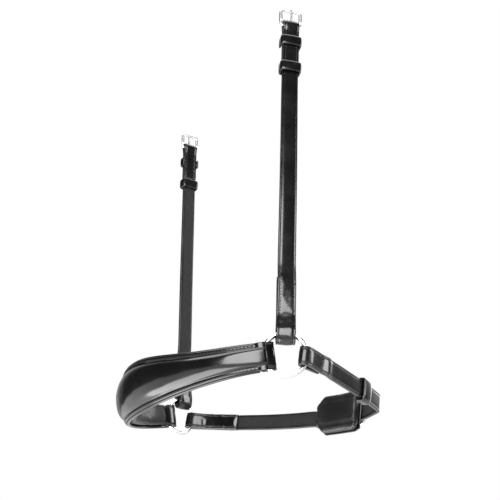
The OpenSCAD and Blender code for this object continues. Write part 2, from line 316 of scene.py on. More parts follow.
def cut(obj, pos, axes, size, round_hole=False):
    """Cuts a slot or a round hole through a piece. axes are the columns of the cutter's frame.
    A round hole's diameter is the first of its sizes, and its depth the last."""
    if round_hole:
        bpy.ops.mesh.primitive_cylinder_add(vertices=24, radius=size[0] / 2 * MM, depth=size[2] * MM)
    else:
        bpy.ops.mesh.primitive_cube_add(size=1)
    tool = bpy.context.object
    m = Matrix([list(r) + [0] for r in np.array(axes).T] + [[0, 0, 0, 1]])
    if not round_hole:
        tool.data.transform(Matrix.Diagonal([s * MM for s in size] + [1]))
    m.translation = Vector(np.asarray(pos) * MM)
    tool.data.transform(m)
    mod = obj.modifiers.new("cut", "BOOLEAN")
    mod.object = tool
    mod.operation = "DIFFERENCE"
    mod.solver = "EXACT"
    apply_modifiers(obj)
    bpy.data.objects.remove(tool)


# ---------- materials ----------


def node(tree, kind, inputs=None, **props):
    n = tree.nodes.new(kind)
    for k, v in props.items():
        setattr(n, k, v)
    for k, v in (inputs or {}).items():
        if isinstance(v, bpy.types.NodeSocket):
            tree.links.new(v, n.inputs[k])
        else:
            n.inputs[k].default_value = v
    return n


def ramp(tree, value, low, high, to_low, to_high):
    return node(tree, "ShaderNodeMapRange", {
        "Value": value, "From Min": low, "From Max": high, "To Min": to_low, "To Max": to_high,
    }).outputs["Result"]


def mixed(tree, factor, a, b):
    n = node(tree, "ShaderNodeMix", data_type="RGBA")
    tree.links.new(factor, n.inputs["Factor"])
    n.inputs["A"].default_value = (*a, 1)
    n.inputs["B"].default_value = (*b, 1)
    return n.outputs["Result"]


def new_material(name):
    mat = bpy.data.materials.new(name)
    mat.use_nodes = True
    tree = mat.node_tree
    tree.nodes.clear()
    out = node(tree, "ShaderNodeOutputMaterial")
    shader = node(tree, "ShaderNodeBsdfPrincipled")
    tree.links.new(shader.outputs["BSDF"], out.inputs["Surface"])
    coord = node(tree, "ShaderNodeTexCoord").outputs["Object"]
    return mat, tree, shader, coord


def grain_noise(tree, coord, scale, detail=3.0, rough=0.5, stretch=(1, 1, 1)):
    moved = node(tree, "ShaderNodeMapping", {"Vector": coord, "Scale": stretch}).outputs["Vector"]
    return node(tree, "ShaderNodeTexNoise", {
        "Vector": moved, "Scale": scale, "Detail": detail, "Roughness": rough,
    }).outputs["Fac"]


def bumps(tree, shader, layers):
    """Stacks bump layers, each (height, strength, distance in mm)."""
    last = None
    for height, strength, depth in layers:
        n = node(tree, "ShaderNodeBump", {"Height": height, "Strength": strength, "Distance": depth * MM})
        if last is not None:
            tree.links.new(last, n.inputs["Normal"])
        last = n.outputs["Normal"]
    tree.links.new(last, shader.inputs["Normal"])


def leather(name, dark, light, rough, coat, pores=0.22, creases=0.25):
    """Smooth grain leather: pores, faint creases, patches of more and less polish."""
    mat, tree, shader, coord = new_material(name)
    patches = grain_noise(tree, coord, 45, 4)
    fine = grain_noise(tree, coord, 900, 3, 0.6)
    folds = grain_noise(tree, coord, 160, 5, 0.65)
    cells = node(tree, "ShaderNodeTexVoronoi", {"Vector": coord, "Scale": 1300.0},
                 feature="DISTANCE_TO_EDGE").outputs["Distance"]
    tree.links.new(mixed(tree, ramp(tree, patches, 0.3, 0.7, 0, 1), dark, light), shader.inputs["Base Color"])
    tree.links.new(ramp(tree, patches, 0.25, 0.75, rough - 0.06, rough + 0.08), shader.inputs["Roughness"])
    shader.inputs["Specular IOR Level"].default_value = 0.5
    shader.inputs["Coat Weight"].default_value = coat
    shader.inputs["Coat Roughness"].default_value = 0.12
    bumps(tree, shader, [
        (folds, creases, 0.25), (ramp(tree, cells, 0.0, 0.25, 0, 1), pores, 0.05), (fine, pores, 0.06)])
    return mat


def flesh_leather(name, dark, light, rough):
    """The matt inner side of leather: short fibres and a faint sheen."""
    mat, tree, shader, coord = new_material(name)
    patches = grain_noise(tree, coord, 80, 4)
    fibres = grain_noise(tree, coord, 500, 6, 0.75, (1, 1, 0.5))
    tree.links.new(mixed(tree, ramp(tree, fibres, 0.3, 0.7, 0, 1), dark, light), shader.inputs["Base Color"])
    tree.links.new(ramp(tree, patches, 0.3, 0.7, rough - 0.05, rough + 0.08), shader.inputs["Roughness"])
    shader.inputs["Specular IOR Level"].default_value = 0.3
    shader.inputs["Sheen Weight"].default_value = 0.03
    bumps(tree, shader, [(fibres, 0.45, 0.15)])
    return mat


def thread_material(name, dark, light):
    """Waxed thread: a fine twist along it."""
    mat, tree, shader, coord = new_material(name)
    twist = node(tree, "ShaderNodeTexWave", {"Vector": coord, "Scale": 900.0, "Distortion": 2.0},
                 bands_direction="DIAGONAL").outputs["Fac"]
    tree.links.new(mixed(tree, twist, dark, light), shader.inputs["Base Color"])
    tree.links.new(ramp(tree, twist, 0, 1, 0.42, 0.6), shader.inputs["Roughness"])
    bumps(tree, shader, [(twist, 0.5, 0.08)])
    return mat


def metal_material(name, dark, light, rough):
    """Polished plated wire: faint haze, fine polishing lines."""
    mat, tree, shader, coord = new_material(name)
    haze = grain_noise(tree, coord, 140, 4)
    lines = grain_noise(tree, coord, 700, 3, 0.6, (1, 1, 6))
    tree.links.new(mixed(tree, ramp(tree, haze, 0.3, 0.7, 0, 1), dark, light), shader.inputs["Base Color"])
    tree.links.new(ramp(tree, haze, 0.25, 0.75, rough - 0.03, rough + 0.07), shader.inputs["Roughness"])
    shader.inputs["Metallic"].default_value = 1.0
    bumps(tree, shader, [(lines, 0.06, 0.03)])
    return mat


GLOSS = leather("glossy_leather", (0.003, 0.003, 0.0035), (0.007, 0.007, 0.0075), 0.2, 0.6, 0.1, 0.14)
GRAIN = leather("strap_leather", (0.004, 0.004, 0.0045), (0.009, 0.009, 0.0095), 0.2, 0.5, 0.12, 0.08)
CUT_EDGE = leather("burnished_edge", (0.008, 0.008, 0.009), (0.022, 0.022, 0.023), 0.32, 0.3, 0.3, 0.2)
FLESH = flesh_leather("leather_inner_side", (0.011, 0.011, 0.012), (0.024, 0.024, 0.026), 0.62)
SOFT = leather("soft_lining_leather", (0.007, 0.007, 0.008), (0.015, 0.015, 0.016), 0.4, 0.2, 0.3, 0.3)
THREAD = thread_material("black_thread", (0.008, 0.008, 0.009), (0.04, 0.04, 0.042))
CHROME = metal_material("polished_chrome", (0.76, 0.77, 0.79), (0.88, 0.89, 0.9), 0.13)
NICKEL = metal_material("brushed_nickel", (0.78, 0.79, 0.8), (0.92, 0.92, 0.93), 0.34)
STRAP_MATS = [GRAIN, CUT_EDGE, FLESH]
BRIGHT_MATS = [GLOSS, CUT_EDGE, FLESH]

# ---------- leather folded round the ring's wire ----------


def fold_points(bottom, half, at):
    """Half a fold in (out, along): from the doubled strap down to the far side of the wire,
    whose middle is at the height at."""
    return [(LAYER, at + 20), (LAYER * 1.06, at + 13), (half * 0.78, at + 5.6), (half, at + 0.5),
            (half * 0.74, at - bottom * 0.72), (0, at - bottom)]


# ---------- cheek straps ----------

FOLD_TOP = 55.0
UPPER_FOLD = 234.0


def cheek_frame(s, z):
    """Origin, outward and across directions of a cheek strap at a distance up it: it twists
    from the ring's direction to its own over the stitched fold."""
    rise = joint_axis(f"{side_name(s)}_runner_slide")
    across = joint_axis(f"{side_name(s)}_buckle_tilt")
    twist = (RING_TOE - CHEEK_TOE) * (1 - float(smoothstep((z - RING_R - 6) / 38)))
    across = np.array(Matrix.Rotation(-s * twist, 3, Vector(rise)) @ Vector(across))
    origin = joint_pos(f"{side_name(s)}_buckle_tilt") + rise * (z - HEEL_Z)
    return origin, np.cross(across, rise), across


def cheek_place(s, pts):
    """World points and across directions for points given as (out, distance up the strap)."""
    world, acrosses = [], []
    for q, z in pts:
        origin, out, across = cheek_frame(s, z)
        world.append(origin + out * q)
        acrosses.append(across)
    return np.array(world), np.array(acrosses)


def cheek_strap(s):
    name = side_name(s)
    low = fold_points(6.6, 3.7, RING_R)
    down = [(-LAYER, FOLD_TOP), (-LAYER, FOLD_TOP - 10)] + [(-q, z) for q, z in low]
    up = low[-2::-1] + [(LAYER, FOLD_TOP - 12), (LAYER, FOLD_TOP - 4), (LAYER * 0.4, FOLD_TOP + 3)]
    single = [(0, FOLD_TOP + 9)] + [(0, z) for z in range(80, 221, 20)] + [(0, UPPER_FOLD - 9)]
    r = FRAME_R + LAYER + 0.15
    rise = [(LAYER * 0.5, UPPER_FOLD - 4), (LAYER, UPPER_FOLD + 2), (LAYER, UPPER_FOLD + 14),
            (LAYER, HEEL_Z - 11), (LAYER * 1.05, HEEL_Z - 7), (r * 0.84, HEEL_Z - 3), (r, HEEL_Z + 0.2)]
    over = [(r * 0.72, HEEL_Z + r * 0.72), (0, HEEL_Z + r), (-r * 0.72, HEEL_Z + r * 0.72)]
    back = [(-q, z) for q, z in reversed(rise[1:])] + [(-LAYER, UPPER_FOLD + 0.5)]
    pts = spline(down + up + single + rise + over + back, STEP)
    centre, acrosses = cheek_place(s, pts)
    z = pts[:, 1]
    bend = 0.35 * np.sin((z - 70) / 37) * smoothstep((z - 70) / 40) * smoothstep((235 - z) / 40)
    centre = centre + np.array([s * 1.0, 0, 0]) * bend[:, None]
    waves = 0.16 * smoothstep((FOLD_TOP + 6 - z) / 12) + 0.1 * smoothstep((z - UPPER_FOLD) / 8)
    obj = ribbon(f"{name}_cheek_leather", centre, acrosses, STRAP_MATS, skive=(4, 3), wrinkle=waves)
    heel, out, across = cheek_frame(s, HEEL_Z)
    along = joint_axis(f"{name}_runner_slide")
    cut(obj, heel + along * 1.2, (across, out, along), (3.4, 12, 7.4))
    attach(obj, f"{name}_cheek_strap")
    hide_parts(f"{name}_cheek_strap")
    seam_rows(s, name)


def seam_rows(s, name):
    """Stitch rows of the two folds, on the outer and on the inner face, near both edges."""
    face = LAYER + LEATHER / 2
    for part, z0, z1 in (("ring", RING_R + 13, FOLD_TOP - 3), ("buckle", UPPER_FOLD + 1.5, HEEL_Z - 7)):
        rows = []
        for side in (-1, 1):
            for sign in (-1, 1):
                zs = np.linspace(z0, z1, 30)
                pts, nrm = [], []
                for z in zs:
                    origin, out, across = cheek_frame(s, z)
                    pts.append(origin + out * face * sign + across * side * (STRAP_W / 2 - SEAM_INSET))
                    nrm.append(out * sign)
                rows.append(stitches("row", pts, nrm, THREAD))
        join(rows, f"{name}_cheek_{part}_stitches")
        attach(rows[0], f"{name}_cheek_strap")


def join(objs, name):
    """Joins meshes into the first of them."""
    bm = bmesh.new()
    for o in objs:
        bm.from_mesh(o.data)
    bm.to_mesh(objs[0].data)
    bm.free()
    for o in objs[1:]:
        bpy.data.objects.remove(o)
    objs[0].name = name
    objs[0].data.name = name
    return objs[0]


# ---------- keepers ----------


def keeper_loop(name, origin, across, out, along, half_w, front, back, height, closed=True,
                thick=1.7, bulge=0.5):
    """A leather band round a strap, open at the back if it is sewn in. The middle of its front
    bulges a little, and its corners are round. half_w, front and back are its inner sizes."""
    r = 1.6
    w, f, b = half_w + thick / 2, front + thick / 2, back + thick / 2

    def corner(cx, cy, a0):
        return [(cx + r * cos(radians(a0 + a)), cy + r * sin(radians(a0 + a))) for a in (0, 22, 45, 68, 90)]

    ring = [(x, f + bulge * (1 - (x / (w - r)) ** 2)) for x in np.linspace(w - r, -w + r, 9)[1:-1]]
    pts = corner(w - r, f - r, 0) + ring + corner(-w + r, f - r, 90)
    if closed:
        pts += corner(-w + r, -b + r, 180) + [(0, -b)] + corner(w - r, -b + r, 270)
        pts = pts[-6:] + pts[:-6] + [pts[-6]]
    else:
        pts = [(w, -b)] + pts + [(-w, -b)]
    flat = resample(np.array(pts, float), 0.6)
    if closed:
        flat = np.vstack([flat[:-1], flat[:1]])
    centre = np.array([origin + across * x + out * y for x, y in flat])
    n = len(flat)
    prof = []
    for a in np.linspace(0, 2 * pi, 28, endpoint=False):
        x, y = round_power(cos(a), 0.45), round_power(sin(a), 0.45)
        crown = 0.15 * max(y, 0) * (1 - x * x)
        prof.append((x * height / 2, y * thick / 2 + crown, OUTER if y > -0.5 else INNER))
    t = tangents(centre)
    if closed:
        t[0] = t[-1] = unit(centre[1] - centre[-2])
    nrm = np.cross(along, t)
    if np.dot(nrm[n // 2], centre[n // 2] - origin) < 0:
        nrm = -nrm
    m = len(prof)
    rows = n - 1 if closed else n
    verts = np.zeros((rows, m, 3))
    for i in range(rows):
        for j, (x, y, _) in enumerate(prof):
            verts[i, j] = centre[i] + along * x + nrm[i] * y
    around = [face for _, _, face in prof]
    ids = around * rows if closed else around * (rows - 1) + [EDGE, EDGE]
    return new_object(name, verts.reshape(-1, 3), skin(rows, m, closed), BRIGHT_MATS, ids)


def node_mid(name):
    """Middle of a CAD node's box, in mm."""
    low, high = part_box(name)
    return (np.array(low) + np.array(high)) / 2 / MM


def cheek_keepers(s):
    name = side_name(s)
    for kind, front, back, closed in (("keeper", LEATHER + 0.7, LEATHER - 0.6, False),
                                      ("runner", LEATHER + 0.5, LEATHER + 0.5, True)):
        rise = joint_axis(f"{name}_runner_slide")
        origin, out, across = cheek_frame(s, node_mid(f"{name}_cheek_{kind}")[2] / rise[2])
        obj = keeper_loop(f"{name}_cheek_{kind}_leather", origin, across, out, rise,
                          STRAP_W / 2 + 0.4, front, back, 8.6, closed, 1.5, 0.35)
        body = f"{name}_cheek_strap" if kind == "keeper" else f"{name}_runner"
        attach(obj, body)
        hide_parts(f"{name}_cheek_{kind}")


# ---------- buckles ----------


def buckle(prefix, bodies, nodes, heel, across, out, along, lean):
    """A wire frame and its tongue. along points from the heel bar to the far bar when the
    frame lies flat, and lean turns it outwards."""
    turn = Matrix.Rotation(lean, 3, Vector(across))
    ax, ox = np.array(turn @ Vector(along)), np.array(turn @ Vector(out))
    heel_r, far_r = 1.3, 3.2
    corners = ((FRAME_HALF - heel_r, heel_r, heel_r, 270), (FRAME_HALF - far_r, FRAME_L - far_r, far_r, 0),
               (-FRAME_HALF + far_r, FRAME_L - far_r, far_r, 90), (-FRAME_HALF + heel_r, heel_r, heel_r, 180))
    pts = []
    for cx, cy, r, a0 in corners:
        pts += [(cx + r * cos(radians(a0 + a)), cy + r * sin(radians(a0 + a))) for a in np.linspace(0, 90, 9)]
    loop = resample(np.array(pts + pts[:1]), 0.5)[:-1]
    path = [heel + across * x + ax * y for x, y in loop]
    bar = [FRAME_R * (1 + 0.4 * float(smoothstep((y - 2) / 3))) for x, y in loop]
    wire = tube(f"{prefix}_frame", path, bar, NICKEL, sides=16, closed=True, flat=0.86, up=ox)
    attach(wire, bodies[0])
    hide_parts(nodes[0])
    r = FRAME_R + 0.85
    eye = [(r * sin(radians(a)), r * cos(radians(a))) for a in np.linspace(-255, 40, 22)]
    top = FRAME_R + 0.95
    rod = [(r * 0.9, 2.4), (1.9, 4.5), (1.95, 8)]
    rod += [(top, FRAME_L - 3), (top + 0.12, FRAME_L), (top - 0.5, FRAME_L + 1.7)]
    line = spline(eye + rod, 0.45)
    d = lengths(line) / lengths(line)[-1]
    rad = 0.78 + 0.16 * np.sin(np.clip(d * 1.4 - 0.2, 0, 1) * pi) - 0.3 * smoothstep((d - 0.93) / 0.07)
    tongue = tube(f"{prefix}_tongue", [heel + ox * q + ax * y for q, y in line], rad, NICKEL, up=across)
    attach(tongue, bodies[1])
    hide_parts(nodes[1])


def cheek_buckle(s):
    name = side_name(s)
    heel, out, across = cheek_frame(s, HEEL_Z)
    bodies = (f"{name}_buckle", f"{name}_tongue")
    nodes = (f"{name}_cheek_buckle", f"{name}_cheek_tongue")
    buckle(f"{name}_buckle", bodies, nodes, heel, across, out, joint_axis(f"{name}_runner_slide"), 0.0)


# ---------- nosepiece ----------

# the load strap's line is an ellipse in plan that meets both rings' wire; it tips down in front
NOSE_TILT = radians(9.5)
NOSE_B = 72.5
WIRE_Y = RING_R * cos(RING_TOE)
WIRE_X = RING_X - RING_R * sin(RING_TOE)
NOSE_A = WIRE_X / sqrt(1 - (WIRE_Y / NOSE_B) ** 2)
WIRE_PHI = asin(WIRE_Y / NOSE_B)
ARC_MM = sqrt((NOSE_A * sin(WIRE_PHI)) ** 2 + (NOSE_B * cos(WIRE_PHI)) ** 2)
COVER_PHI = WIRE_PHI - 2.0 / ARC_MM
LINING_PHI = WIRE_PHI + 3.5 / ARC_MM


def nose_up(p):
    """Height of the top edge above the load strap's middle, at angle p round the nose."""
    return 8.7 + 12.3 * sin(p) ** 5


def nose_down(p):
    """Depth of the bottom edge below it."""
    return 8.7 + 6.7 * sin(p) ** 1.9


def nose_point(p, u, v):
    """World point at angle p round the nose, u outwards from the load strap, v up it."""
    c = np.array([NOSE_A * cos(p), -NOSE_B * sin(p), 0])
    n = unit([cos(p) / NOSE_A, -sin(p) / NOSE_B, 0])
    x, y, _ = c + n * u
    return np.array([x, y * cos(NOSE_TILT) - v * sin(NOSE_TILT), y * sin(NOSE_TILT) + v * cos(NOSE_TILT)])


def nose_out(p):
    return unit(nose_point(p, 1, 0) - nose_point(p, 0, 0))


def nose_crown(p):
    """How far out the raised leather stands."""
    return 4.6 + 3.9 * sin(p) ** 1.3


TOP_BORDER, LOW_BORDER = 3.7, 3.2
BORDER_OUT = 2.3


def border_scale(p):
    """The sewn borders narrow towards the rings."""
    return 0.72 + 0.28 * sin(p)


def from_wire(p):
    """Distance in mm from the nearer ring's wire, along the load strap."""
    return (min(p, pi - p) - WIRE_PHI) * ARC_MM


def cover_profile(p, count=54):
    """Outer surface from the top edge to the bottom edge: a flat sewn border, a groove, the
    raised crown, a groove, a border."""
    up, down = nose_up(p), nose_down(p)
    k = border_scale(p)
    hi, lo = up - TOP_BORDER * k, -down + LOW_BORDER * k
    rise = nose_crown(p) - BORDER_OUT
    power = 2.3 + 4 * (1 - float(smoothstep(from_wire(p) / 32)))
    out = []
    for i in range(count + 1):
        v = up + (-down - up) * i / count
        if v > hi or v < lo:
            x = (v - hi) / (up - hi) if v > hi else (lo - v) / (lo + down)
            u = BORDER_OUT + 0.35 * sin(pi * min(x * 1.15, 1)) - 0.35 * max(0, x - 0.85) / 0.15
        else:
            x = 2 * (v - lo) / (hi - lo) - 1
            u = 2.15 + rise * (1 - abs(x) ** power) ** 0.62
        out.append((u, v))
    return out


def over_wire(p):
    """Height of the load strap's outer face near a ring, where it climbs over the wire."""
    return 3.25 * (1 - float(smoothstep((from_wire(p) - 1.5) / 7)))


def nosepiece_cover():
    """The glossy outer leather: small dents on its crown, its two ends laid over the wire."""
    steps = 260
    rows = []
    span = pi - 2 * COVER_PHI
    for i in range(steps + 1):
        p = COVER_PHI + span * i / steps
        ends = min(i, steps - i) / steps * 270
        lift = over_wire(p)
        lip = 0.25 + 0.75 * sqrt(min(ends / 1.4, 1))
        row = []
        for u, v in cover_profile(p):
            q = nose_point(p, u, v)
            dent = 0.22 * wobble(q, 24, 3) + 0.10 * wobble(q, 9, 7)
            top = max(u + dent * max(0, (u - 2.6) / 4), lift + 0.95)
            row.append(nose_point(p, lift + (top - lift) * lip, v * (1 + 0.018 * lift)))
        inner = [(0.9, -nose_down(p) + 0.25), (0.6, 0.0), (0.9, nose_up(p) - 0.25)]
        row += [nose_point(p, max(u, lift), v * (1 + 0.018 * lift)) for u, v in inner]
        rows.append(row)
    m = len(rows[0])
    outer = m - len(inner) - 1
    ids = ([0] * outer + [1] * (m - outer)) * steps + [1, 1]
    verts = np.array(rows).reshape(-1, 3)
    obj = new_object("nosepiece_raised_leather", verts, skin(steps + 1, m), [GLOSS, CUT_EDGE], ids)
    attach(obj, "noseband")
    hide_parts("nosepiece_cover", "nosepiece_filler")


def nose_line(u, v, p0=LINING_PHI, n=200):
    """A line along the nosepiece and its outward directions; u and v are functions of the angle."""
    ps = np.linspace(p0, pi - p0, n)
    pts = np.array([nose_point(p, u(p), v(p)) for p in ps])
    nrm = np.array([nose_out(p) for p in ps])
    return pts, nrm


def nosepiece_seams():
    """A row of stitches on each border."""
    rows = []
    for v in (lambda p: nose_up(p) - 1.9 * border_scale(p),
              lambda p: -nose_down(p) + 1.6 * border_scale(p)):
        pts, nrm = nose_line(lambda p: 2.62, v, WIRE_PHI + 7 / ARC_MM)
        rows.append(stitches("row", pts, nrm, THREAD, pitch=2.5, length=1.9))
    obj = join(rows, "nosepiece_stitches")
    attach(obj, "noseband")


def nosepiece_piping():
    """The cord along each edge."""
    for sign, node_name, edge in ((1, "nosepiece_top_piping", nose_up),
                                  (-1, "nosepiece_bottom_piping", nose_down)):
        pts, _ = nose_line(lambda p: -0.15, lambda p: sign * edge(p))
        obj = tube(f"{node_name}_cord", pts, 1.15, GLOSS, sides=16)
        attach(obj, "noseband")
        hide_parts(node_name)


CLOTH_STIFF = 12.0
PRESSURE = 3.0
FRAMES = 20


def inflate(obj, voxel, cap):
    """Puffs a closed form with Blender's cloth, as a filled pad under a tight cover of soft
    leather. voxel is the mesh's new size and cap the most that a point moves, both in mm."""
    mod = obj.modifiers.new("remesh", "REMESH")
    mod.mode = "VOXEL"
    mod.voxel_size = voxel * MM
    mod.use_smooth_shade = True
    apply_modifiers(obj)
    start = np.zeros(len(obj.data.vertices) * 3)
    obj.data.vertices.foreach_get("co", start)
    start = start.reshape(-1, 3)
    cloth = obj.modifiers.new("cloth", "CLOTH")
    cloth.settings.quality = 6
    cloth.settings.mass = 0.25
    cloth.settings.tension_stiffness = CLOTH_STIFF
    cloth.settings.compression_stiffness = CLOTH_STIFF
    cloth.settings.bending_stiffness = 0.4
    cloth.settings.use_pressure = True
    cloth.settings.uniform_pressure_force = PRESSURE
    cloth.settings.effector_weights.gravity = 0
    scene = bpy.context.scene
    for f in range(1, FRAMES + 1):
        scene.frame_set(f)
    graph = bpy.context.evaluated_depsgraph_get()
    end = np.zeros(len(start) * 3)
    obj.evaluated_get(graph).data.vertices.foreach_get("co", end)
    move = end.reshape(-1, 3) - start
    size = np.linalg.norm(move, axis=1)[:, None]
    limit = cap * MM
    move *= limit * np.tanh(size / limit) / np.maximum(size, 1e-9)
    obj.modifiers.clear()
    obj.data.vertices.foreach_set("co", (start + move).ravel())
    scene.frame_set(1)
    sub = obj.modifiers.new("smooth", "SUBSURF")
    sub.levels = sub.render_levels = 1
    apply_modifiers(obj)
    obj.data.polygons.foreach_set("use_smooth", [True] * len(obj.data.polygons))
    obj.data.materials.clear()
    obj.data.materials.append(SOFT)


def rounded_end(x):
    """Size of a form at its round end: x goes from 0 at the tip to 1 where it is full."""
    return sqrt(max(1 - (1 - min(x, 1)) ** 2, 0.1))


def nosepiece_pad():
    """The soft inner pad: a crowned roll, flat where it lies on the load strap."""
    steps, ring = 120, 28
    rows = []
    for i in range(steps + 1):
        p = LINING_PHI + (pi - 2 * LINING_PHI) * i / steps
        thick = 2.4 + 4.6 * sin(p)
        end = rounded_end(min(i, steps - i) / 4 + 0.15)
        row = []
        for j in range(ring):
            a = 2 * pi * j / ring
            x = round_power(cos(a), 0.75)
            y = round_power(sin(a), 0.8)
            half = (nose_up(p) if y > 0 else nose_down(p)) - 0.9
            u = -1.0 - thick / 2 * 1.02 + x * thick / 2 * end
            row.append(nose_point(p, u, y * half * (0.8 + 0.2 * end)))
        rows.append(row)
    obj = new_object("nosepiece_soft_lining", np.array(rows).reshape(-1, 3), skin(steps + 1, ring), [SOFT])
    inflate(obj, 1.6, 0.9)
    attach(obj, "noseband")
    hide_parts("nosepiece_lining", "nosepiece_padding")


def nosepiece_strap():
    """The load strap: two layers near each ring, folded round the wire. It follows the
    nosepiece up to the wire and goes straight on past it."""
    half = [(0.5, 30), (0.5, 9), (0.9, 6), (1.7, 3.4), (2.4, 0.6), (2.3, -3.6), (1.5, -6.2), (0, -7.3)]
    line = spline([(-q, y) for q, y in half] + half[-2::-1], 0.8)
    wire = np.array([NOSE_A * cos(WIRE_PHI), -NOSE_B * sin(WIRE_PHI), 0])
    along = unit([-NOSE_A * sin(WIRE_PHI), -NOSE_B * cos(WIRE_PHI), 0])
    out = unit([cos(WIRE_PHI) / NOSE_A, -sin(WIRE_PHI) / NOSE_B, 0])
    up = np.array([0, -sin(NOSE_TILT), cos(NOSE_TILT)])
    narrow = 1 - 0.2 * smoothstep((line[:, 1] - 1) / 5)
    pts = []
    for q, y in line:
        if y < 0:
            c = wire + along * y + out * q
            pts.append([c[0], c[1] * cos(NOSE_TILT), c[1] * sin(NOSE_TILT)])
        else:
            pts.append(nose_point(WIRE_PHI + y / (NOSE_B * 1.03), q, 0))
    for s in (1, -1):
        obj = ribbon(f"{side_name(s)}_nose_ring_fold", np.array(pts) * (s, 1, 1), up * s, BRIGHT_MATS,
                     width=18.8, thick=1.6, widen=narrow)
        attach(obj, "noseband")
        if s > 0:
            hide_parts("nosepiece_load_strap")


# ---------- chin strap ----------

# its plan, in mm, is drawn in the plane across chin_runner_slide's axis: an arc from the near
# ring (NEAR), a tight turn (TURN) and an arc to the far ring (FAR), with angles in degrees
CHIN_X = np.array([1.0, 0, 0])
CHIN_Y = np.cross(CHIN_UP, CHIN_X)
BACK = np.array([RING_X + RING_R * sin(RING_TOE), RING_R * cos(RING_TOE)])
NEAR_R, NEAR_A0, NEAR_A1 = 371.0, 22.0, 36.7
TURN_R, TURN_END = 7.5, 84.0
FAR_R, FAR_A0, FAR_A1 = 265.0, 103.0, 140.0


def polar(c, r, a):
    """Point at a distance and an angle from a centre, in the plan."""
    return np.array([c[0] + r * cos(radians(a)), c[1] + r * sin(radians(a))])


NEAR_FLAT = polar(BACK, -NEAR_R, NEAR_A0)
TURN_C = polar(NEAR_FLAT, NEAR_R - TURN_R, NEAR_A1)
FAR_C = polar(np.array([-BACK[0], BACK[1]]), -FAR_R, FAR_A1)


def degrees_of(length, radius):
    return length / radius * 180 / pi


def chin_world(p, z=0.0):
    return CHIN_X * p[0] + CHIN_Y * p[1] + CHIN_UP * z


def far_point(s, d):
    """Plan point at a distance s along the far arc from its buckle end, and d outwards from it."""
    return polar(FAR_C, FAR_R + d, FAR_A0 + degrees_of(s, FAR_R))


def far_out(s):
    """Outward direction of the far arc."""
    return unit(chin_world(far_point(s, 1) - far_point(s, 0)))


# the buckle's heel bar is HEEL_S along the far arc; its far bar is lifted by the strap under it
HEEL_S = 14.0
HOLES = (10, 22, 34)
BAR_LIFT = 2.6
BAR_S = HEEL_S - sqrt(FRAME_L**2 - BAR_LIFT**2)
FOLD_R = FRAME_R + 0.1 + 1.8
OVER = FOLD_R + 1.4 + 0.15


def chin_fold(ring_xy, away, side):
    """Inner and outer half of a fold at the back of a ring in plan: away is the strap's
    direction, side its outer side."""
    low = fold_points(5.2, 2.95, 0)
    inner = [ring_xy + away * y - side * q for q, y in low]
    outer = [ring_xy + away * y + side * q for q, y in low[-2::-1]]
    return inner, outer


def near_chin():
    """The short strap: from the near ring round the turn, and through the buckle behind the pad."""
    a0 = radians(NEAR_A0)
    away, side = np.array([-sin(a0), cos(a0)]), np.array([cos(a0), sin(a0)])
    inner, outer = chin_fold(BACK, away, side)
    arc = [polar(NEAR_FLAT, NEAR_R + LAYER * k, NEAR_A0 + degrees_of(x, NEAR_R))
           for x, k in ((24, 0.7), (31, 0.35), (40, 0.08))]
    arc += [polar(NEAR_FLAT, NEAR_R, a) for a in np.linspace(NEAR_A0 + 7, NEAR_A1, 8)]
    turn = [polar(TURN_C, TURN_R, a) for a in np.linspace(NEAR_A1 + 9, TURN_END, 4)]
    under = BAR_LIFT - FRAME_R - LEATHER / 2 - 0.2
    tail = [far_point(BAR_S - 1, under), far_point(BAR_S + 2.5, under + 0.1)]
    tail += [far_point(HEEL_S - 3, OVER - 0.3)]
    tail += [far_point(HEEL_S + x, OVER) for x in (1, 8, 20, 32, 40)]
    start = [BACK + away * 14 - side * LAYER * 0.9]
    line = spline(start + inner[1:] + outer + arc + turn + tail, STEP)
    p = np.array([chin_world(q) for q in line])
    waves = 0.1 * smoothstep((45 - lengths(p)) / 12)
    obj = ribbon("near_chin_leather", p, -CHIN_UP, STRAP_MATS, skive=(6, 0), tip=(0, 7), wrinkle=waves)
    slot = HEEL_S - 7.5
    o = far_out(slot)
    cut(obj, chin_world(far_point(slot, 1.5)), (CHIN_UP, np.cross(CHIN_UP, o), o), (3.0, 9, 10))
    for x in HOLES:
        o = far_out(HEEL_S + x)
        at = chin_world(far_point(HEEL_S + x, OVER))
        cut(obj, at, (CHIN_UP, np.cross(CHIN_UP, o), o), (3.2, 0, 8), round_hole=True)
    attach(obj, "chin_strap")
    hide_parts("near_chin_strap")
    rows = []
    for sign in (-1, 1):
        for y, lift in ((7.4, 0.45), (9.2, 0.05)):
            pts = [chin_world(BACK + away * y + side * sign * (LAYER + LEATHER / 2 + lift), v)
                   for v in np.linspace(-STRAP_W / 2 + 2, STRAP_W / 2 - 2, 8)]
            rows.append(stitches("row", pts, [chin_world(side * sign)] * 8, THREAD, pitch=1.9, length=1.4))
    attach(join(rows, "near_chin_stitches"), "chin_strap")


